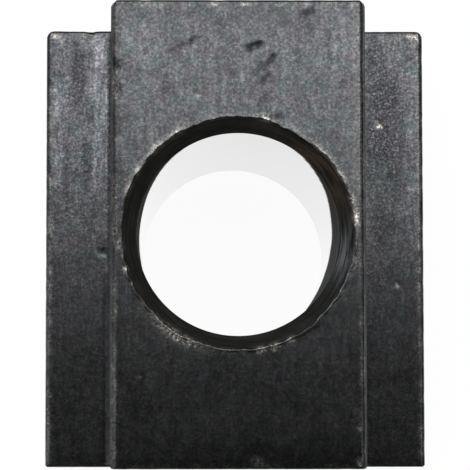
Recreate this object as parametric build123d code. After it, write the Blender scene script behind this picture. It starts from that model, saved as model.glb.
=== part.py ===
from build123d import *
import os

# T slot nut: one steel block with a narrow neck on a wide flange, tapped right through.
# Millimetres. Z is up along the bore, Y runs along the slot and X runs across it.
# The origin is the middle of the bore on the underside of the flange.

THREAD_SIZE = 20.0                      # the stud that the nut takes
THREAD_PITCH = 2.5
THREAD_DEPTH = 0.48 * THREAD_PITCH      # a tapped thread stops a little short of full form
NECK_WALL = 1.0                         # steel left between the thread and each side of the neck
SHOULDER = 6.5                          # how far the flange reaches out past the neck on each side
LENGTH = 40.5                           # along the slot
FLANGE_THICKNESS = 14.0
NECK_RISE = 14.0                        # from the flange's upper face to the top of the neck
RIM_CLEARANCE = 0.1                     # the countersinks reach this far outside the thread
ROOT_RADIUS = 1.0                       # in the corners between neck and flange
NECK_BEVEL = 0.5                        # along the neck's two top edges
FLANGE_ROUND = 0.4                      # along the flange's long edges
END_BREAK = 0.2                         # round the outline of each sawn end

HEIGHT = FLANGE_THICKNESS + NECK_RISE
NECK_WIDTH = THREAD_SIZE + 2 * NECK_WALL
FLANGE_WIDTH = NECK_WIDTH + 2 * SHOULDER
CORE_RADIUS = THREAD_SIZE / 2 - THREAD_DEPTH
COUNTERSINK = THREAD_DEPTH + RIM_CLEARANCE


def t_section():
    """The T outline across the slot, with its edges already broken."""
    with BuildSketch(Plane.XZ) as section:
        Rectangle(FLANGE_WIDTH, FLANGE_THICKNESS, align=(Align.CENTER, Align.MIN))
        Rectangle(NECK_WIDTH, HEIGHT, align=(Align.CENTER, Align.MIN))
        corners = section.vertices().group_by(Axis.Y)    # the sketch's own upright axis
        underside, shoulder, neck_top = corners[0], corners[1], corners[2]
        by_width = shoulder.sort_by(Axis.X)
        fillet(by_width[1:-1], ROOT_RADIUS)
        fillet(underside + [by_width[0], by_width[-1]], FLANGE_ROUND)
        chamfer(neck_top, NECK_BEVEL)
    return section.sketch


def sawn_bar():
    """The section run along the slot, cut square and deburred at both ends."""
    bar = extrude(t_section(), LENGTH / 2, both=True)
    ends = bar.faces().filter_by(Axis.Y)
    outlines = [edge for end in ends for edge in end.outer_wire().edges()]
    return chamfer(outlines, END_BREAK)


def bored(block):
    """The block with its through bore at thread core size, countersunk at both mouths."""
    block -= Pos(0, 0, HEIGHT / 2) * Cylinder(CORE_RADIUS, HEIGHT)
    mouths = block.edges().filter_by(GeomType.CIRCLE).group_by(Axis.Z)
    return chamfer(mouths[0] + mouths[-1], COUNTERSINK)


t_slot_nut = bored(sawn_bar())

os.makedirs("parts", exist_ok=True)
export_step(t_slot_nut, "parts/t_slot_nut.step")
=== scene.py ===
import math

import bmesh
import bpy
import numpy as np
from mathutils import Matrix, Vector, noise
from mathutils.geometry import delaunay_2d_cdt


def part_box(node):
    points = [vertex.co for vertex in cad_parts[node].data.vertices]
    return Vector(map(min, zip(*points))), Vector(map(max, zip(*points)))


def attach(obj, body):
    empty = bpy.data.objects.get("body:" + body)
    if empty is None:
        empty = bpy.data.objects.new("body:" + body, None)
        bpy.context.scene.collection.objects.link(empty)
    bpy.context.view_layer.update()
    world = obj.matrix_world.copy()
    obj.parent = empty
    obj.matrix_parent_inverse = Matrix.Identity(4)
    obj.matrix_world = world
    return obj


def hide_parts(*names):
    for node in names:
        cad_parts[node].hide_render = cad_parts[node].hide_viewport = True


# Visual model of the T slot nut. Lengths in the mesh code are millimetres on the part, in the
# CAD frame: Z up along the bore, Y along the slot, X across it. They become metres at the end.

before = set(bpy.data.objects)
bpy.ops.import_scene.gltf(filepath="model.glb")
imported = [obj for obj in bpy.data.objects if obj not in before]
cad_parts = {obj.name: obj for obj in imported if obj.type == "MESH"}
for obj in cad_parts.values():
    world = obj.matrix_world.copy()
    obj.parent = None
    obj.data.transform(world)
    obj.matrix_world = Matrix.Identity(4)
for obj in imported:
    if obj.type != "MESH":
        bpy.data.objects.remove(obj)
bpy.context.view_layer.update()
MM = 0.001

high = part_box("t_slot_nut")[1]
FLANGE_HALF = high.x / MM
END = high.y / MM
TOP = high.z / MM
SHOULDER_Z = 14.0
NECK_HALF = 11.0
FLANGE_ROUND = 0.4
ROOT = 1.0                          # radius between neck and shoulder
BEVEL = 0.5
BULGE = 0.12                        # how far the worn bevel stands out from a straight one
END_BREAK = 0.2                     # the sawn ends' broken edges
CORE = 8.8                          # the hole's radius
COUNTERSINK = 1.3
RIM = CORE + COUNTERSINK            # the mouth's radius

HOLD = 0.04                         # the flats keep a line of points this close to their edges
RIM_BAND = 0.25                     # finely ringed strip round each mouth, where the burr stands
BURR_ROOM = 0.06                    # the neck's face lies this far under the burr's highest point
AROUND = 288                        # points round the bore
FACE_STEP = 0.24                    # spacing of the points on the neck's face
EDGE_STEP = 0.30                    # along and across the visible edges and shoulders
PLAIN_STEP = 0.45                   # on the sides, ends and underside
CONE_STEP = 0.17                    # down the countersinks
WALL_STEP = 0.60                    # down the bore's wall
NICKS = 40                          # small dents at chance places on the long edges
SOLID_WEAR = 1.6                    # the highest wear; above 1 the bare steel is unbroken
RNG = np.random.default_rng(20)


# ---- outline of the section ----------------------------------------------------------------

def spaced(a, b, step):
    """Evenly spaced values from a to b, about step apart."""
    count = max(2, int(round(abs(b - a) / step)) + 1)
    return np.linspace(a, b, count)


def held(a, b, step):
    """Like spaced, with one more point close to each end."""
    close = math.copysign(HOLD, b - a)
    return np.concatenate([[a], spaced(a + close, b - close, step), [b]])


def arc(cx, cz, radius, start, stop, count=7):
    """Points (x, z) on an arc; its start and stop are in degrees."""
    angles = np.radians(np.linspace(start, stop, count))
    return [(cx + radius * math.cos(a), cz + radius * math.sin(a)) for a in angles]


def right_chain():
    """Points (x, z) up the right side, from the underside's flat to the neck's flat top."""
    r = FLANGE_ROUND
    chain = [(FLANGE_HALF - r - HOLD, 0)] + arc(FLANGE_HALF - r, r, r, -90, 0)
    chain += [(FLANGE_HALF, z) for z in held(r, SHOULDER_Z - r, PLAIN_STEP)][1:]
    chain += arc(FLANGE_HALF - r, SHOULDER_Z - r, r, 0, 90)[1:]
    chain += [(x, SHOULDER_Z) for x in held(FLANGE_HALF - r, NECK_HALF + ROOT, EDGE_STEP)][1:]
    chain += arc(NECK_HALF + ROOT, SHOULDER_Z + ROOT, ROOT, -90, -180, 13)[1:]
    chain += [(NECK_HALF, z) for z in held(SHOULDER_Z + ROOT, TOP - BEVEL, PLAIN_STEP)][1:]
    chain += [(NECK_HALF - BEVEL * t + BULGE * t * math.sin(math.pi * t),
               TOP - BEVEL + BEVEL * t + BULGE * t * math.sin(math.pi * t))
              for t in (0.08, 0.25, 0.42, 0.56, 0.7, 0.8, 0.9)]
    chain += [(NECK_HALF - BEVEL, TOP), (NECK_HALF - BEVEL - HOLD, TOP)]
    return np.array(chain)


def inset(loop, depth):
    """The closed outline moved into the steel by depth, point by point."""
    ahead = np.roll(loop, -1, axis=0) - loop
    behind = loop - np.roll(loop, 1, axis=0)
    ahead /= np.linalg.norm(ahead, axis=1)[:, None]
    behind /= np.linalg.norm(behind, axis=1)[:, None]
    inward_ahead = np.column_stack([-ahead[:, 1], ahead[:, 0]])
    inward_behind = np.column_stack([-behind[:, 1], behind[:, 0]])
    middle = inward_ahead + inward_behind
    middle /= (middle ** 2).sum(1)[:, None] / 2
    sharp = (inward_ahead * inward_behind).sum(1) < 0.9
    for i in np.flatnonzero(sharp):        # points held beside a corner move with it, or they fold
        for j in (i - 1, (i + 1) % len(loop)):
            if np.linalg.norm(loop[j] - loop[i]) < 2 * HOLD:
                middle[j] = middle[i]
    return loop + middle * depth


# ---- patches -------------------------------------------------------------------------------

class Patches:
    """Collects grids and fills, and welds them where their edges share points."""

    def __init__(self):
        self.points = []
        self.faces = []
        self.count = 0

    def add(self, points, faces):
        self.points.append(np.asarray(points, float))
        self.faces += [tuple(i + self.count for i in face) for face in faces]
        self.count += len(points)

    def grid(self, rows, closed=False):
        """rows: equally long arrays of points, joined by quads."""
        rows = np.asarray(rows, float)
        lines, columns = rows.shape[:2]
        last = columns if closed else columns - 1
        faces = []
        for i in range(lines - 1):
            for j in range(last):
                k = (j + 1) % columns
                faces.append((i * columns + j, i * columns + k,
                              (i + 1) * columns + k, (i + 1) * columns + j))
        self.add(rows.reshape(-1, 3), faces)

    def fill(self, outer, step, lift, hole_radius=0, hole=None):
        """A flat face between an outer loop and an optional round hole, as even triangles.
        lift: turns its flat points into points in space."""
        inner = seeds(outer, hole_radius, step)
        loops = [outer] + ([hole] if hole is not None else [])
        coords, edges = [], []
        for loop in loops:
            base = len(coords)
            coords += [tuple(p) for p in loop]
            edges += [(base + i, base + (i + 1) % len(loop)) for i in range(len(loop))]
        coords += [tuple(p) for p in inner]
        flat = [Vector(c) for c in coords]
        points, _, triangles, *_ = delaunay_2d_cdt(flat, edges, [], 0, 1e-7, False)
        points = np.array([tuple(p) for p in points])
        triangles = np.array([t for t in triangles if len(t) == 3])
        centres = points[triangles].mean(1)
        keep = inside(centres, outer)
        if hole is not None:
            keep &= ~inside(centres, hole)
        self.add(lift(points), [tuple(int(i) for i in t) for t in triangles[keep]])

    def mesh(self, name):
        """The mesh of all patches, with equal points welded into one."""
        weld_digits = 4                 # points that agree to 0.0001 mm become one
        points = np.concatenate(self.points)
        _, first, index = np.unique(np.round(points, weld_digits), axis=0, return_index=True,
                                    return_inverse=True)
        index = index.reshape(-1)
        faces = []
        for face in self.faces:
            welded = [int(index[i]) for i in face]
            corners = [a for a, b in zip(welded, welded[1:] + welded[:1]) if a != b]
            if len(corners) > 2:
                faces.append(corners)
        made = bpy.data.meshes.new(name)
        made.from_pydata(points[first].tolist(), [], faces)
        made.validate()
        made.update()
        return made


def inside(points, loop):
    """Which points lie inside the closed loop."""
    x, y = points[:, 0], points[:, 1]
    result = np.zeros(len(points), bool)
    ends = np.roll(loop, -1, axis=0)
    for (ax, ay), (bx, by) in zip(loop, ends):
        if ay == by:
            continue
        crosses = (ay > y) != (by > y)
        result ^= crosses & (x < (bx - ax) * (y - ay) / (by - ay) + ax)
    return result


def seeds(outer, hole_radius, step):
    """Loose points for a fill, in rows set half a step apart, clear of the face's edges."""
    start, margin, row_step, jitter = 0.6 * step, 0.5 * step, 0.87 * step, 0.12
    lo, hi = outer.min(0), outer.max(0)
    rows = []
    for n, y in enumerate(np.arange(lo[1] + start, hi[1] - margin, row_step)):
        xs = np.arange(lo[0] + step * (0.6 + 0.5 * (n % 2)), hi[0] - margin, step)
        rows.append(np.column_stack([xs, np.full(len(xs), y)]))
    points = np.concatenate(rows)
    points += RNG.uniform(-jitter, jitter, points.shape) * step
    points = points[inside(points, outer)]
    if hole_radius:
        points = points[np.hypot(points[:, 0], points[:, 1]) > hole_radius + 0.55 * step]
    clear = np.ones(len(points), bool)
    for corner in outer:
        clear &= np.hypot(*(points - corner).T) > margin
    return points[clear]


def circle(radius):
    """Flat points on a circle round the bore's axis."""
    angles = np.linspace(0, 2 * math.pi, AROUND, endpoint=False)
    return np.column_stack([radius * np.cos(angles), radius * np.sin(angles)])


def at_height(flat, z):
    """Flat points (x, y) as points in space."""
    return np.column_stack([flat, np.full(len(flat), z)])


def sawn_end(patches, loop, side):
    """The broken edge round one end, halfway between a round and a bevel, and the end's flat
    face. side: 1 at +Y, -1 at -Y."""
    rows = []
    for turn in np.radians(np.linspace(0, 90, 5)):
        straight = turn / (math.pi / 2)
        ring = inset(loop, END_BREAK * (0.5 * (1 - math.cos(turn)) + 0.5 * straight))
        y = side * (END - END_BREAK + END_BREAK * (0.5 * math.sin(turn) + 0.5 * straight))
        rows.append(np.column_stack([ring[:, 0], np.full(len(ring), y), ring[:, 1]]))
    patches.grid(rows, closed=True)
    patches.fill(rows[-1][:, [0, 2]], PLAIN_STEP,
                 lambda p: np.column_stack([p[:, 0], np.full(len(p), side * END), p[:, 1]]))


def flat_loop(half, xs, ys):
    """The rectangle of points round a flat face that is 2 * half wide."""
    sides = [(half, y) for y in ys]
    top = [(x, ys[-1]) for x in sorted(xs, reverse=True)][1:-1]
    back = [(-half, y) for y in ys[::-1]]
    bottom = [(x, ys[0]) for x in sorted(xs)][1:-1]
    return np.array(sides + top + back + bottom)


def nut_patches():
    """The whole nut, unworn: long strips, sawn ends, flat faces, and the bore."""
    patches = Patches()
    right = right_chain()
    left = right[::-1] * (-1, 1)
    neck_flat = NECK_HALF - BEVEL - HOLD
    under_flat = FLANGE_HALF - FLANGE_ROUND - HOLD
    neck_x = spaced(neck_flat, -neck_flat, EDGE_STEP)
    under_x = spaced(-under_flat, under_flat, PLAIN_STEP)
    neck_line = np.column_stack([neck_x, np.full(len(neck_x), TOP)])
    under_line = np.column_stack([under_x, np.zeros(len(under_x))])
    loop = np.concatenate([right, neck_line[1:-1], left, under_line[1:-1]])

    ys = held(-(END - END_BREAK), END - END_BREAK, EDGE_STEP)
    for xs, z in ((neck_x, TOP), (under_x, 0.0)):
        for pair in (ys[:2], ys[-2:]):
            patches.grid([[(x, y, z) for x in xs] for y in pair])
    for chain in (right, left):
        patches.grid([np.column_stack([chain[:, 0], np.full(len(chain), y), chain[:, 1]])
                      for y in ys])
    for side in (-1, 1):
        sawn_end(patches, loop, side)

    band = circle(RIM + RIM_BAND)
    patches.fill(flat_loop(neck_flat, neck_x, ys[1:-1]), FACE_STEP,
                 lambda p: at_height(p, TOP), RIM + RIM_BAND, band)
    patches.fill(flat_loop(under_flat, under_x, ys[1:-1]), PLAIN_STEP,
                 lambda p: at_height(p, 0), RIM + RIM_BAND, band)
    widths = RIM + np.linspace(RIM_BAND, 0, 6)
    cone = held(0, COUNTERSINK, CONE_STEP)
    wall = held(TOP - COUNTERSINK, COUNTERSINK, WALL_STEP)
    rows = [at_height(circle(r), TOP) for r in widths]
    rows += [at_height(circle(RIM - d), TOP - d) for d in cone[1:]]
    rows += [at_height(circle(CORE), z) for z in wall[1:]]
    rows += [at_height(circle(CORE + d), COUNTERSINK - d) for d in cone[1:]]
    rows += [at_height(circle(r), 0) for r in widths[::-1][1:]]
    patches.grid(rows, closed=True)
    return patches


# ---- wear ----------------------------------------------------------------------------------

def wave(points, scale, seed):
    """Smooth noise from -1 to 1 at each point, with features about 1 / scale long."""
    offset = Vector((seed * 17.3, seed * 5.1, seed * 9.7))
    return np.array([noise.noise(Vector(p) * scale + offset) for p in points])


def step_up(value, start, stop):
    """0 up to start, rising smoothly to 1 at stop."""
    t = np.clip((value - start) / (stop - start), 0, 1)
    return t * t * (3 - 2 * t)


def hump(value, centre, width):
    """1 at centre, falling off over width to either side like a bell."""
    return np.exp(-((value - centre) / width) ** 2)


def bearing(degrees, centre):
    """The angle from centre to each bearing, from -180 to 180."""
    return (degrees - centre + 180) % 360 - 180


def near(points, centre, size):
    """1 at centre, falling smoothly to 0 at the given size along each axis."""
    distance = np.sqrt((((points - centre) / size) ** 2).sum(1))
    return 1 - step_up(distance, 0.35, 1.0)


def along(points, start, stop, width):
    """1 on the line from start to stop, falling smoothly to 0 at width from it."""
    start, stop = np.array(start, float), np.array(stop, float)
    line = stop - start
    t = np.clip(((points - start) @ line) / (line @ line), 0, 1)
    distance = np.linalg.norm(points - (start + t[:, None] * line), axis=1)
    return 1 - step_up(distance, 0.2 * width, width)


def edge_distance(points):
    """How far each point is from the nearest long or sawn edge of the block."""
    x, y, z = np.abs(points[:, 0]), np.abs(points[:, 1]), points[:, 2]
    ends = END - y
    long_edges = [np.hypot(x - FLANGE_HALF, z), np.hypot(x - FLANGE_HALF, z - SHOULDER_Z),
                  np.hypot(x - NECK_HALF, z - TOP)]
    outline = np.minimum.reduce([
        np.where(z > SHOULDER_Z, np.abs(NECK_HALF - x), np.abs(FLANGE_HALF - x)),
        np.where(x < NECK_HALF, TOP - z, np.abs(SHOULDER_Z - z)), z])
    sawn = np.hypot(ends, outline)
    return np.minimum(sawn, np.minimum.reduce(long_edges))


# Marks on the faces, mostly scratches, with three lines of painted shade marked below: start, end,
# width, depth, how dark. Depths go into the steel.
SCRATCHES_AND_SHADE_LINES = [
    ((-6.1, 15.7, TOP), (-4.2, 16.5, TOP), 0.26, 0.015, 0.60),
    ((-4.2, 16.5, TOP), (-3.5, 16.8, TOP), 0.34, 0.025, 0.75),
    ((0.9, 15.9, TOP), (1.9, 16.3, TOP), 0.52, 0.045, 1.00),
    ((3.1, 15.3, TOP), (2.2, 14.1, TOP), 0.38, 0.035, 1.00),
    ((2.6, 13.7, TOP), (2.0, 12.9, TOP), 0.38, 0.030, 0.95),
    ((1.9, 14.6, TOP), (1.5, 13.6, TOP), 0.30, 0.015, 0.65),
    ((5.4, 18.9, TOP), (6.5, 19.3, TOP), 0.42, 0.030, 0.95),
    ((4.4, 18.4, TOP), (4.0, 18.0, TOP), 0.20, 0.010, 0.40),
    ((-6.7, 11.3, TOP), (-6.0, 11.6, TOP), 0.16, 0.010, 0.00),
    ((-0.6, 13.8, TOP), (0.1, 13.7, TOP), 0.28, 0.010, 0.40),
    ((-1.7, 18.3, TOP), (-1.6, 17.6, TOP), 0.22, 0.010, 0.40),
    ((-8.6, 18.8, TOP), (-8.0, 18.9, TOP), 0.25, 0.010, 0.40),
    ((2.6, 11.9, TOP), (1.7, 11.0, TOP), 0.30, 0.010, 0.55),
    ((3.2, -11.5, TOP), (2.6, -12.6, TOP), 0.22, 0.010, 0.30),
    ((2.6, 9.88, TOP), (3.6, 9.98, TOP), 0.30, 0.020, 0.55),
    ((-10.65, 15.1, TOP), (-10.45, 14.4, TOP), 0.42, 0.02, 0.90),
    ((-10.60, 12.9, TOP), (-10.50, 11.6, TOP), 0.38, 0.01, 0.75),
    ((-10.15, 7.0, TOP), (-10.15, -13.0, TOP), 0.50, 0.0, 0.30),
    # Painted shade: a dark strip along the inner edge of the neck's left bevel, on the +Y half.
    ((-10.50, 18.5, TOP), (-10.50, 3.0, TOP), 0.40, 0.0, 0.50),
    # Painted shade in the crease where the neck meets the left shoulder, on the -Y half.
    ((-11.85, -3.0, SHOULDER_Z), (-11.85, -20.0, SHOULDER_Z), 0.45, 0.0, 0.50),
    # Painted shade: a dark line on the +Y part of the flange's left rounded edge.
    ((-17.25, 19.5, SHOULDER_Z), (-17.25, 7.0, SHOULDER_Z), 0.65, 0.0, 0.50),
    ((-14.7, 19.0, SHOULDER_Z), (-14.9, 15.4, SHOULDER_Z), 0.35, 0.010, 0.55),
    ((-14.1, 18.6, SHOULDER_Z), (-14.0, 13.8, SHOULDER_Z), 0.22, 0.010, 0.50),
    ((-13.2, 13.0, SHOULDER_Z), (-13.0, 8.5, SHOULDER_Z), 0.30, 0.010, 0.40),
    ((-15.6, 12.0, SHOULDER_Z), (-15.7, 4.5, SHOULDER_Z), 0.45, 0.005, 0.35),
    ((-12.6, -0.3, SHOULDER_Z), (-11.9, -0.4, SHOULDER_Z), 0.22, 0.050, 0.90),
]
# Rougher dark stains: centre, size, how dark.
STAINS = [
    ((13.1, 17.2, SHOULDER_Z), (1.4, 3.0, 1), 0.75),
    ((13.9, 13.8, SHOULDER_Z), (2.4, 4.2, 1), 0.90),
    ((13.7, 10.0, SHOULDER_Z), (3.0, 4.2, 1), 0.90),
    ((14.6, 6.8, SHOULDER_Z), (1.4, 2.4, 1), 0.7),
    ((-10.3, 14.6, TOP), (0.65, 0.8, 1), 1.0),
    ((-10.3, 12.4, TOP), (0.55, 1.2, 1), 1.0),
    ((-10.3, 9.6, TOP), (0.45, 1.6, 1), 0.6),
    ((-10.3, 17.5, TOP), (0.45, 1.8, 1), 0.6),
    ((5.6, 17.9, TOP), (1.6, 1.2, 1), 0.35),
    ((-14.6, 15.6, SHOULDER_Z), (1.1, 4.2, 1), 0.70),
    ((-13.8, 8.0, SHOULDER_Z), (0.8, 3.4, 1), 0.7),
    ((-14.8, 6.8, SHOULDER_Z), (0.9, 0.9, 1), 0.6),
    ((-13.4, 2.6, SHOULDER_Z), (0.6, 1.8, 1), 0.5),
    ((-10.4, 1.5, TOP), (0.9, 5.0, 1), 0.45),
    ((12.8, 8.0, SHOULDER_Z), (1.0, 3.0, 1), 0.7),
    ((13.4, 2.5, SHOULDER_Z), (1.3, 3.5, 1), 0.5),
]
# Smears where the oxide is thinner and paler, with two painted highlights marked below: start,
# end, width, how much paler.
SMEARS_AND_HIGHLIGHTS = [
    ((-12.6, 19.3, SHOULDER_Z), (-12.6, 6.0, SHOULDER_Z), 1.1, 0.42),
    ((-12.9, 12.5, SHOULDER_Z), (-12.7, 9.0, SHOULDER_Z), 0.9, 0.50),
    ((-16.4, 15.0, SHOULDER_Z), (-16.4, 6.0, SHOULDER_Z), 0.7, 0.26),
    ((16.4, 12.0, SHOULDER_Z), (16.4, -2.0, SHOULDER_Z), 0.8, 0.16),
    ((8.5, 19.0, TOP), (9.2, 16.0, TOP), 1.4, 0.14),
    ((-8.8, 17.8, TOP), (-7.5, 15.0, TOP), 1.6, 0.10),
    ((1.8, -19.85, TOP), (2.2, -19.85, TOP), 0.45, 0.60),
    # Painted highlight: a pale line along the -Y part of the flange's left rounded edge.
    ((-17.35, -20.0, 13.75), (-17.35, 9.0, 13.75), 0.40, 0.35),
    # Painted highlight: a pale line along the -Y part of the neck's left bevel.
    ((-10.6, -20.0, 27.85), (-10.6, 2.0, 27.85), 0.22, 0.12),
]
# Knocks on edges and faces: centre, size, depth, how bright.
KNOCKS = [
    ((-13.4, 20.1, SHOULDER_Z), (0.7, 0.6, 0.5), 0.16, 0.1),
    ((-3.5, 11.9, TOP), (0.22, 0.26, 0.3), 0.03, 0.8),
    ((-9.9, 13.1, TOP), (0.18, 0.18, 0.3), 0.02, 0.6),
    ((10.4, -16.6, TOP), (0.35, 0.4, 0.4), 0.03, 0.40),
    ((10.4, -19.5, TOP), (0.40, 0.6, 0.5), 0.04, 0.30),
    ((7.3, -15.6, TOP), (0.25, 0.15, 0.3), 0.02, 0.4),
    ((5.2, -16.6, TOP), (0.18, 0.18, 0.3), 0.02, 0.35),
    ((13.34, 11.35, SHOULDER_Z), (0.34, 0.34, 0.4), 0.05, 2.4),
    ((14.9, -3.5, SHOULDER_Z), (0.22, 0.22, 0.3), 0.04, 0.8),
    ((-8.6, -12.3, TOP), (0.30, 0.18, 0.3), 0.005, 0.7),
    ((16.6, 19.75, SHOULDER_Z), (0.60, 0.28, 0.5), 0.04, 2.2),
    ((-16.7, 19.84, SHOULDER_Z), (0.80, 0.22, 0.5), 0.04, 1.7),
    ((2.0, 10.3, TOP), (0.60, 0.16, 0.4), 0.03, 1.0),
    ((1.6, -19.5, TOP), (0.9, 0.7, 0.4), 0.01, 0.32),
    ((-2.1, 19.8, TOP), (0.5, 0.2, 0.4), 0.02, 0.5),
    ((0.6, 19.8, TOP), (0.6, 0.2, 0.4), 0.02, 0.5),
    ((3.6, 19.8, TOP), (0.5, 0.2, 0.4), 0.02, 0.5),
]
# Upright corners knocked off: centre, size, depth, how bright.
CORNER_CUTS = [
    ((-11.2, 20.5, TOP - 2.0), (0.9, 0.9, 6.0), 0.30, 0.0),
    ((11.2, 20.5, TOP - 2.0), (0.8, 0.8, 6.0), 0.24, 0.0),
    ((-17.6, 20.35, SHOULDER_Z), (0.7, 0.7, 4.0), 0.16, 0.0),
    ((17.6, 20.35, SHOULDER_Z), (0.7, 0.7, 4.0), 0.16, 0.0),
]
# Where the mouth's rim is rubbed: angle and spread in degrees, band's width, how bright.
RIM_RUBS = [
    (238, 12, 0.42, 1.0), (281, 2.5, 0.26, 1.0), (288, 2.5, 0.28, 1.1), (296, 2.0, 0.26, 0.9),
    (7, 3.5, 0.26, 1.6), (16, 2.5, 0.18, 1.1), (76, 3.0, 0.22, 0.8), (60, 9.0, 0.20, 0.18),
    (45, 6.0, 0.20, 0.5), (30, 4.0, 0.18, 0.5), (121, 6.0, 0.24, 0.4), (134, 5.0, 0.26, 0.6),
    (148, 4.0, 0.24, 0.5), (158, 3.0, 0.20, 0.5), (100, 8.0, 0.20, 0.18), (186, 3.0, 0.26, 0.45),
    (198, 3.0, 0.22, 0.6), (345, 6.0, 0.22, 0.4), (325, 5.0, 0.20, 0.2), (262, 8.0, 0.18, 0.3),
]


class Surface:
    """The nut's points, where they are, and the noises that its wear shares."""

    def __init__(self, mesh):
        self.count = len(mesh.vertices)
        points = np.zeros(self.count * 3)
        mesh.vertices.foreach_get("co", points)
        self.points = points.reshape(-1, 3)
        normals = np.zeros(self.count * 3, np.float32)
        mesh.vertex_normals.foreach_get("vector", normals)
        self.normals = normals.reshape(-1, 3).astype(float)
        self.x, self.y, self.z = self.points.T
        self.radius = np.hypot(self.x, self.y)
        self.angle = np.arctan2(self.y, self.x)
        self.degrees = np.degrees(self.angle) % 360
        self.from_rim = self.radius - RIM
        self.fine = wave(self.points, 1.1, 1)
        self.coarse = wave(self.points, 0.35, 2)
        self.grain = wave(self.points, 2.6, 3)
        unit_circle = np.column_stack([np.cos(self.angle), np.sin(self.angle), 0 * self.angle])
        self.round_fine = wave(unit_circle * RIM, 1.6, 5)
        self.round_coarse = wave(unit_circle * RIM, 0.35, 6)
        self.at_mouth = self.z > TOP - 0.35
        self.end_face = np.abs(self.y) > END - 0.01
        self.sawn_edge = step_up(np.abs(self.y), END - 0.9, END - 0.2)


def rim_rubbing(at):
    """How hard the mouth's rim is rubbed: a faint line all round, and the RIM_RUBS."""
    total = 0.10 * hump(at.from_rim, 0.05, 0.07)
    for centre, spread, band, strength in RIM_RUBS:
        across = hump(at.from_rim, 0.55 * band, band)
        turn = bearing(at.degrees, centre)
        total = np.maximum(total, strength * hump(turn, 0, spread) * across)
    return total * at.at_mouth


def edge_wear(at):
    """How deep and how bright the block's edges are worn."""
    on_edge = 1 - step_up(edge_distance(at.points), 0.25, 0.75)
    on_edge *= at.from_rim > 0.02
    depth = on_edge * (0.010 + 0.035 * np.clip(at.fine + 0.4 * at.coarse, 0, 1))
    bright = on_edge * np.clip(0.22 + 0.5 * at.fine + 0.35 * at.coarse, 0, 1)
    return depth, bright * (1 - 0.7 * at.sawn_edge)


def grime_and_shade(at):
    """Darkening that isn't in a scratch: darker near the neck top's ends, most at -Y; dirt along
    the shoulders' sawn edges; and along the mouth's rim, noisy grime all round with painted shade
    added on its -Y side."""
    ends = 0.30 * step_up(-at.y, 17.2, 19.2) + 0.10 * step_up(at.y, 17.0, 19.5)
    dark = ends * ((at.z > TOP - 1) & ~at.end_face)
    shoulder = (np.abs(at.z - SHOULDER_Z) < 0.2) & ~at.end_face
    dark = np.maximum(dark, 0.35 * at.sawn_edge * shoulder)
    # Along the rim: noisy grime all round, with painted shade added on the -Y side.
    shaded = np.clip(0.30 - 0.35 * np.sin(at.angle) + 0.9 * at.round_fine, 0, 0.85)
    return np.maximum(dark, shaded * hump(at.from_rim, 0, 0.10) * at.at_mouth)


def paleness_and_highlight(at):
    """Where the oxide is paler: the smears; painted highlights along the left edges; and painted
    highlight streaks on the bore's +X side.
    """
    # Painted highlight: paler streaks on the bore's +X side.
    lit_side = hump(bearing(at.degrees, 348), 0, 13)
    pale_and_highlight = 0.8 * lit_side * (at.from_rim < -0.1)
    for start, stop, width, amount in SMEARS_AND_HIGHLIGHTS:
        pale_and_highlight = np.maximum(pale_and_highlight, amount * along(at.points, start, stop, width))
    return pale_and_highlight


def wet_patch(at):
    """The oily part of the wall: its upper line is highest at +Y, where it would reach above
    the wall, and is lower by drop at y = 0."""
    wall_top, above, drop, soft = TOP - COUNTERSINK, 0.9, 12.5, 0.3
    towards_y = np.clip(at.y / CORE, -1, 1)
    wet_line = wall_top + above - drop * (1 - towards_y) ** 1.5
    wet = 1 - step_up(at.z + 0.5 * at.coarse, wet_line - soft, wet_line + soft)
    return wet * (at.z < wall_top - 0.5 * HOLD)


def nicked(at, depth, bright):
    """Adds small dents at chance places along the six long edges."""
    for n in range(NICKS):
        y = RNG.uniform(-END, END)
        x, z = [(FLANGE_HALF, 0), (FLANGE_HALF, SHOULDER_Z), (NECK_HALF, TOP)][n % 3]
        centre = (x * (1 if n % 2 else -1), y, z)
        mark = near(at.points, centre, RNG.uniform(0.25, 0.5, 3))
        depth = depth + RNG.uniform(0.02, 0.06) * mark
        bright = np.maximum(bright, 0.5 * mark)
    return depth, bright


def mouth_shaped(at, moved):
    """Sinks the neck's face by BURR_ROOM, raises the burr round the mouth to just under the
    block's top, and makes the rims uneven, with one long step between 50 and 70 degrees."""
    moved[:, 2] -= BURR_ROOM * step_up(at.z, TOP - 0.5, TOP)
    burr = np.clip(0.20 + 0.9 * at.round_fine + 0.6 * at.round_coarse, 0, 1)
    moved[:, 2] += hump(at.from_rim, 0.07, 0.09) * at.at_mouth * burr * BURR_ROOM * 0.98
    rims = hump(at.from_rim, 0, 0.16) * (at.at_mouth | (at.z < 0.3))
    stepped = step_up(at.degrees, 48, 54) * (1 - step_up(at.degrees, 68, 71))
    push = rims * (0.12 * at.round_fine + 0.06 * at.round_coarse - 0.20 * stepped - 0.05)
    moved[:, :2] += at.points[:, :2] / np.maximum(at.radius, 1)[:, None] * push[:, None]


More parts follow.
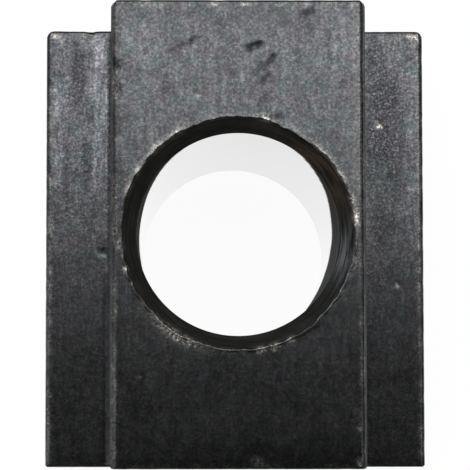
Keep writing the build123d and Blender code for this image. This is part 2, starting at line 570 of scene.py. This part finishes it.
def worn(mesh):
    """Moves the nut's points to their worn places, and stores what the finishes need there."""
    at = Surface(mesh)
    depth, bright = edge_wear(at)
    dark = grime_and_shade(at)
    for start, stop, width, sink, shade in SCRATCHES_AND_SHADE_LINES:
        mark = np.clip(along(at.points, start, stop, width) * (0.8 + 0.6 * at.grain), 0, 1)
        depth += sink * mark
        dark = np.maximum(dark, shade * mark)
    stained = np.zeros(at.count)
    for centre, size, shade in STAINS:
        stained = np.maximum(stained, shade * near(at.points, centre, size))
    for centre, size, sink, shine in KNOCKS + CORNER_CUTS:
        mark = near(at.points, centre, size)
        depth += sink * mark
        bright = np.maximum(bright, shine * mark)
    depth, bright = nicked(at, depth, bright)
    bright = np.maximum(bright, rim_rubbing(at))
    right_edge = step_up(at.x, 9.4, 10.3) * (at.z > TOP - 0.05) * step_up(at.y, -4, 4)
    bright = np.maximum(bright, 0.12 * right_edge)
    speckle = np.where((at.z < SHOULDER_Z + 0.1) & ~at.end_face, 1.0, 0.80)
    speckle *= 0.50 + 0.50 * step_up(at.y, -7, 6)

    moved = at.points - at.normals * depth[:, None]
    mouth_shaped(at, moved)
    stores = (("wear", bright), ("grime_and_shade", dark), ("stain", stained), ("pale_and_highlight", paleness_and_highlight(at)),
              ("wet", wet_patch(at)), ("speckle", speckle),
              ("warm", hump(bearing(at.degrees, 38), 0, 22)))
    for name, values in stores:
        store = mesh.attributes.new(name, "FLOAT", "POINT")
        values = np.clip(values, 0, SOLID_WEAR).astype(np.float32)
        store.data.foreach_set("value", values)
    mesh.vertices.foreach_set("co", (moved * MM).reshape(-1))
    mesh.update()


def finish_slots(mesh):
    """Material 1 on the bore's wall and its countersinks, material 0 on the rest."""
    clear = 0.03                        # kept from the rim and from the flat faces
    slack = 0.12                        # room for the countersink's unevenness
    slots = np.zeros(len(mesh.polygons), np.int32)
    for polygon in mesh.polygons:
        centre = polygon.center / MM
        away = math.hypot(centre.x, centre.y)
        from_face = min(centre.z, TOP - BURR_ROOM - centre.z)
        on_cone = away < RIM - clear and from_face > clear and away < RIM - from_face + slack
        slots[polygon.index] = on_cone or away < CORE + 0.05
    mesh.polygons.foreach_set("material_index", slots)


def make_nut():
    """The worn nut, as an object without materials yet."""
    mesh = nut_patches().mesh("worn_nut")
    shaped = bmesh.new()
    shaped.from_mesh(mesh)
    bmesh.ops.recalc_face_normals(shaped, faces=shaped.faces)
    shaped.to_mesh(mesh)
    shaped.free()
    worn(mesh)
    finish_slots(mesh)
    mesh.shade_smooth()
    nut = bpy.data.objects.new("worn_nut", mesh)
    bpy.context.scene.collection.objects.link(nut)
    return nut


# ---- materials -----------------------------------------------------------------------------

def set_ramp(ramp, stops):
    """Gives a colour ramp its stops: position, and a grey or a colour."""
    while len(ramp.elements) < len(stops):
        ramp.elements.new(0.5)
    for element, (position, colour) in zip(ramp.elements, stops):
        element.position = position
        element.color = (*colour, 1) if isinstance(colour, tuple) else (*[colour] * 3, 1)


def maths(tree, operation, a, b):
    """A Math node on two numbers or sockets, held between 0 and 1."""
    node = tree.nodes.new("ShaderNodeMath")
    node.operation = operation
    node.use_clamp = True
    for socket, value in zip(node.inputs, (a, b)):
        if isinstance(value, (int, float)):
            socket.default_value = value
        else:
            tree.links.new(value, socket)
    return node.outputs["Value"]


class Nodes:
    """A material's node tree, with short calls for the nodes used here. Its textures are in
    millimetres."""

    def __init__(self, name):
        self.material = bpy.data.materials.new(name)
        self.material.use_nodes = True
        self.tree = self.material.node_tree
        self.shader = self.tree.nodes["Principled BSDF"]
        place = self.tree.nodes.new("ShaderNodeTexCoord")
        scaled = self.tree.nodes.new("ShaderNodeMapping")
        scaled.inputs["Scale"].default_value = (1000, 1000, 1000)
        self.link(place.outputs["Object"], scaled.inputs["Vector"])
        self.millimetres = scaled.outputs["Vector"]

    def link(self, output, target):
        self.tree.links.new(output, target)

    def stretched(self, scale):
        """The place on the part with each axis scaled: a small scale draws a pattern out."""
        node = self.tree.nodes.new("ShaderNodeMapping")
        node.inputs["Scale"].default_value = scale
        self.link(self.millimetres, node.inputs["Vector"])
        return node.outputs["Vector"]

    def noise(self, scale, detail=2.0, vector=None, rough=0.5):
        node = self.tree.nodes.new("ShaderNodeTexNoise")
        node.inputs["Scale"].default_value = scale
        node.inputs["Detail"].default_value = detail
        node.inputs["Roughness"].default_value = rough
        self.link(vector or self.millimetres, node.inputs["Vector"])
        return node.outputs["Fac"]

    def attribute(self, name):
        node = self.tree.nodes.new("ShaderNodeAttribute")
        node.attribute_name = name
        return node.outputs["Fac"]

    def ramp(self, value, stops):
        """The value turned into a grey or a colour."""
        node = self.tree.nodes.new("ShaderNodeValToRGB")
        set_ramp(node.color_ramp, stops)
        self.link(value, node.inputs["Fac"])
        return node.outputs["Color"]

    def times(self, a, b):
        return maths(self.tree, "MULTIPLY", a, b)

    def mix(self, factor, a, b, kind="MIX"):
        """Colour b over colour a, by factor. A number as factor is the same everywhere."""
        node = self.tree.nodes.new("ShaderNodeMix")
        node.data_type = "RGBA"
        node.blend_type = kind
        for socket, value in ((node.inputs[0], factor), (node.inputs[6], a),
                              (node.inputs[7], b)):
            if isinstance(value, (int, float)):
                socket.default_value = value
            elif isinstance(value, tuple):
                socket.default_value = (*value, 1)
            else:
                self.link(value, socket)
        return node.outputs[2]

    def tinted(self, colour, by):
        return self.mix(1.0, colour, by, "MULTIPLY")

    def rubbed(self):
        """How bare the steel is: broken up by noise, and solid where the wear is above 1."""
        wear = self.attribute("wear")
        broken = self.ramp(self.noise(3.4, 4.0, rough=0.75), [(0.40, 0.0), (0.66, 1.0)])
        solid = self.times(maths(self.tree, "SUBTRACT", wear, 1.0), 2.5)
        return maths(self.tree, "MAXIMUM", self.times(wear, broken), solid)

    def bump(self, height, strength, distance, under=None):
        node = self.tree.nodes.new("ShaderNodeBump")
        node.inputs["Strength"].default_value = strength
        node.inputs["Distance"].default_value = distance
        self.link(height, node.inputs["Height"])
        if under is not None:
            self.link(under, node.inputs["Normal"])
        return node.outputs["Normal"]


def black_oxide():
    """Oiled black oxide on milled steel: faint colour, fine speckle, bare metal where rubbed."""
    n = Nodes("black_oxide")
    cloud = n.noise(0.35, 3.0)
    blotch = n.noise(1.1, 4.0, rough=0.65)
    speck = n.noise(4.6, 3.0, rough=0.7)
    drawn = n.noise(1.0, 3.0, n.stretched((2.6, 0.35, 2.6)), 0.6)
    tint = n.ramp(n.noise(0.9, 3.0), [(0.30, (0.0265, 0.0300, 0.0298)),
                                      (0.45, (0.0275, 0.0292, 0.0312)),
                                      (0.56, (0.0292, 0.0290, 0.0302)),
                                      (0.70, (0.0294, 0.0276, 0.0318))])
    shade = n.ramp(blotch, [(0.25, 0.70), (0.5, 1.0), (0.78, 1.30)])
    base = n.tinted(tint, shade)
    specked = n.ramp(speck, [(0.28, 0.34), (0.5, 0.92), (0.74, 2.4)])
    base = n.tinted(base, n.mix(n.attribute("speckle"), (1.0, 1.0, 1.0), specked))
    base = n.tinted(base, n.ramp(drawn, [(0.25, 0.80), (0.5, 1.0), (0.75, 1.25)]))
    # Paler oxide at the smears, and painted highlights on the left rounded edge and bevel.
    paler = n.tinted(base, (2.8, 2.8, 2.9))
    smear_and_highlight = n.times(n.attribute("pale_and_highlight"), n.ramp(drawn, [(0.35, 0.1), (0.6, 1.0)]))
    base = n.mix(smear_and_highlight, base, paler)
    blots = n.ramp(n.noise(4.2, 4.0, rough=0.8), [(0.44, 0.0), (0.53, 1.0)])
    base = n.mix(n.times(n.attribute("stain"), blots), base, (0.007, 0.007, 0.008))
    # Grime, and painted shade on the rim's -Y side, along the left edges and in the root, darken
    # the colour.
    base = n.mix(n.attribute("grime_and_shade"), base, (0.006, 0.006, 0.007))
    rubbed = n.rubbed()
    steel = n.ramp(n.noise(6.0, 2.0), [(0.3, (0.10, 0.096, 0.085)), (0.5, (0.20, 0.19, 0.17)),
                                       (0.75, (0.55, 0.53, 0.48))])
    n.link(n.mix(rubbed, base, steel), n.shader.inputs["Base Color"])
    gloss = n.ramp(cloud, [(0.3, 0.17), (0.7, 0.20)])
    gloss = n.mix(n.ramp(speck, [(0.35, 0.0), (0.75, 0.3)]), gloss, (0.26, 0.26, 0.26))
    n.link(n.mix(rubbed, gloss, (0.38, 0.38, 0.38)), n.shader.inputs["Roughness"])
    n.shader.inputs["Metallic"].default_value = 1.0
    grain = n.bump(speck, 0.05, 0.00002)
    pits = n.bump(blotch, 0.04, 0.00006, grain)
    n.link(pits, n.shader.inputs["Normal"])
    return n.material


def bore_finish():
    """Turned surfaces: dull oxide with fine lines, painted highlight streaks on the +X side, and
    an oily, glossy patch on the +Y wall.
    """
    n = Nodes("bore_oxide")
    lines = n.noise(1.0, 4.0, n.stretched((0.25, 0.25, 7.0)), 0.65)
    patchy = n.noise(0.6, 3.0)
    base = n.ramp(patchy, [(0.3, (0.0035, 0.0040, 0.0036)), (0.7, (0.0085, 0.0080, 0.0070))])
    base = n.tinted(base, n.ramp(lines, [(0.3, 0.5), (0.5, 1.0), (0.72, 2.0)]))
    rubbed = n.rubbed()
    streaks = n.ramp(lines, [(0.42, 0.0), (0.60, 1.0)])
    base = n.mix(n.times(n.attribute("warm"), streaks), base, (0.026, 0.018, 0.012))
    # Painted highlight: paler streaks on the bore's +X side.
    base = n.mix(n.times(n.attribute("pale_and_highlight"), streaks), base, (0.075, 0.080, 0.090))
    wet = n.attribute("wet")
    base = n.mix(wet, base, (0.45, 0.445, 0.44))
    n.link(n.mix(rubbed, base, (0.25, 0.24, 0.22)), n.shader.inputs["Base Color"])
    dull = n.ramp(lines, [(0.35, 0.90), (0.65, 0.65)])
    n.link(n.mix(wet, dull, (0.14, 0.14, 0.14)), n.shader.inputs["Roughness"])
    n.link(wet, n.shader.inputs["Metallic"])
    n.link(wet, n.shader.inputs["Coat Weight"])
    n.shader.inputs["Specular IOR Level"].default_value = 0.12
    n.shader.inputs["Coat Roughness"].default_value = 0.10
    n.shader.inputs["Coat IOR"].default_value = 1.6
    return n.material


def floor_finish():
    """Pale paper: it reads white to the eye and in the metal, and still takes a shadow."""
    material = bpy.data.materials.new("pale_floor")
    material.use_nodes = True
    tree = material.node_tree
    tree.nodes.clear()
    out = tree.nodes.new("ShaderNodeOutputMaterial")
    paper = tree.nodes.new("ShaderNodeBsdfDiffuse")
    paper.inputs["Color"].default_value = (0.85, 0.85, 0.85, 1)
    glow = tree.nodes.new("ShaderNodeEmission")
    ray = tree.nodes.new("ShaderNodeLightPath").outputs
    bent = maths(tree, "MAXIMUM", ray["Is Glossy Ray"], ray["Is Transmission Ray"])
    seen = maths(tree, "MAXIMUM", ray["Is Camera Ray"], bent)
    mix = tree.nodes.new("ShaderNodeMixShader")
    glow_share = 0.95                   # the rest is lit paper, which carries the shadow
    tree.links.new(maths(tree, "MULTIPLY", seen, glow_share), mix.inputs[0])
    tree.links.new(paper.outputs[0], mix.inputs[1])
    tree.links.new(glow.outputs[0], mix.inputs[2])
    tree.links.new(mix.outputs[0], out.inputs["Surface"])
    return material


# ---- scene ---------------------------------------------------------------------------------

def lamp(name, place, size_x, size_y, radiance):
    """A soft rectangular lamp of the given brightness, facing the nut's middle. Metres."""
    data = bpy.data.lights.new(name, "AREA")
    data.shape = "RECTANGLE"
    data.size, data.size_y = size_x, size_y
    data.energy = radiance * math.pi * size_x * size_y
    made = bpy.data.objects.new(name, data)
    made.location = place
    nut_middle = Vector((0, 0, 0.014))
    made.rotation_euler = (nut_middle - Vector(place)).to_track_quat("-Z", "Y").to_euler()
    bpy.context.scene.collection.objects.link(made)


def tilted(distance, degrees):
    """A place above the nut, leaning towards +Y by that many degrees off the vertical."""
    lean = math.radians(degrees)
    return (0, distance * math.sin(lean), distance * math.cos(lean))


def make_floor():
    """A wide round sheet of paper just under the nut."""
    disc = bmesh.new()
    bmesh.ops.create_circle(disc, cap_ends=True, radius=6.0, segments=96)
    mesh = bpy.data.meshes.new("floor")
    disc.to_mesh(mesh)
    disc.free()
    made = bpy.data.objects.new("floor", mesh)
    made.location.z = -0.05 * MM        # clear of the nut's underside
    made.data.materials.append(floor_finish())
    bpy.context.scene.collection.objects.link(made)
    return made


def make_world():
    """A studio that is grey at middle heights and dim at the horizon and overhead, where it is
    slightly warm. The camera sees white."""
    world = bpy.data.worlds.new("studio")
    bpy.context.scene.world = world
    world.use_nodes = True
    tree = world.node_tree
    link = tree.links.new
    place = tree.nodes.new("ShaderNodeTexCoord")
    split = tree.nodes.new("ShaderNodeSeparateXYZ")
    level = tree.nodes.new("ShaderNodeValToRGB")
    dim, lit, overhead = 0.10, 0.50, (0.108, 0.103, 0.080)
    set_ramp(level.color_ramp, [(0.0, dim), (0.14, dim), (0.36, lit), (0.84, lit),
                                (0.95, overhead)])
    studio = tree.nodes["Background"]
    link(place.outputs["Generated"], split.inputs[0])
    link(split.outputs["Z"], level.inputs["Fac"])
    link(level.outputs["Color"], studio.inputs["Color"])
    white = tree.nodes.new("ShaderNodeBackground")
    white.inputs["Color"].default_value = (1, 1, 1, 1)
    path = tree.nodes.new("ShaderNodeLightPath")
    mix = tree.nodes.new("ShaderNodeMixShader")
    link(path.outputs["Is Camera Ray"], mix.inputs[0])
    link(studio.outputs[0], mix.inputs[1])
    link(white.outputs[0], mix.inputs[2])
    link(mix.outputs[0], tree.nodes["World Output"].inputs["Surface"])


nut = make_nut()
nut.data.materials.append(black_oxide())
nut.data.materials.append(bore_finish())
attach(nut, "root")
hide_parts("t_slot_nut")

floor = make_floor()

lamp("key_light", tilted(0.8, 21.85), 0.60, 0.44, 6.6)
lamp("left_glow", (-0.42, 0.33, 0.68), 0.32, 0.36, 4.2)
lamp("left_fill", (-1.04, 0, 0.78), 1.4, 2.3, 0.95)
lamp("right_fill", (0.67, 0, 1.11), 1.4, 0.85, 0.7)
make_world()

# The camera looks almost straight down, with its image shifted to bring the nut to the middle.
lens = bpy.data.cameras.new("camera")
lens.sensor_width = 36
lens.lens = 159.00
lens.shift_x, lens.shift_y = 0.0445, 0.1523
lens.clip_start = 0.01
camera = bpy.data.objects.new("camera", lens)
camera.location = (-0.00408, -0.01754, 0.20529)
camera.rotation_euler = tuple(math.radians(a) for a in (3.612, -0.640, -0.038))
bpy.context.scene.collection.objects.link(camera)
bpy.context.scene.camera = camera
bpy.context.scene.view_settings.view_transform = "Standard"
